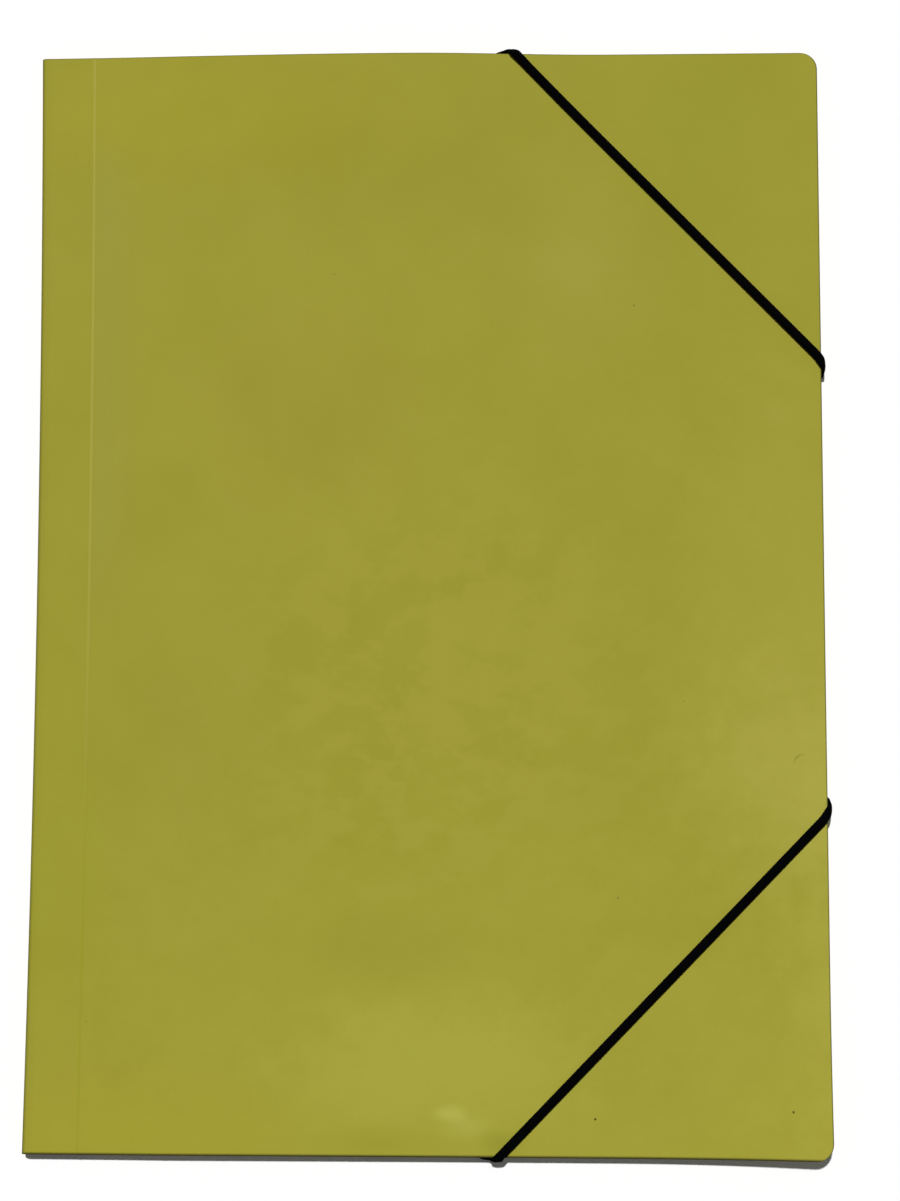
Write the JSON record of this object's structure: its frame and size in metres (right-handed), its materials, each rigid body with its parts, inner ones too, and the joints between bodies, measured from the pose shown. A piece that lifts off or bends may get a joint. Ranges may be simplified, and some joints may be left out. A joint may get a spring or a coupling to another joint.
{
  "type": "elastic folder",
  "caption": "A4 folder of pressed card with folded inner flaps, shut by a flat elastic cord across each corner of its opening edge.",
  "frame": {"origin": "on the table, under the middle of the closed folder with its cords", "axes": "+X from the spine to the opening edge, +Y up the page, +Z from the back cover to the front cover"},
  "size_m": [0.2312, 0.3226, 0.0054],
  "materials": {
    "card": "satin",
    "elastic": "matte",
    "cord_end_metal": "satin"
  },
  "bodies": {
    "back": {"back_cover": "card", "elastic_upper": "elastic", "elastic_lower": "elastic", "cord_end_top": "cord_end_metal", "cord_end_upper_right": "cord_end_metal", "cord_end_lower_right": "cord_end_metal", "cord_end_bottom": "cord_end_metal"},
    "front": {"front_cover": "card"}
  },
  "joints": [
    {"name": "cover_hinge", "type": "hinge", "parent": "back", "child": "front", "pos_m": [-0.1158, 0, 0.0027], "axis": [0, -1, 0], "range_deg": [0, 178], "deforming": ["elastic_upper", "elastic_lower"]}
  ]
}
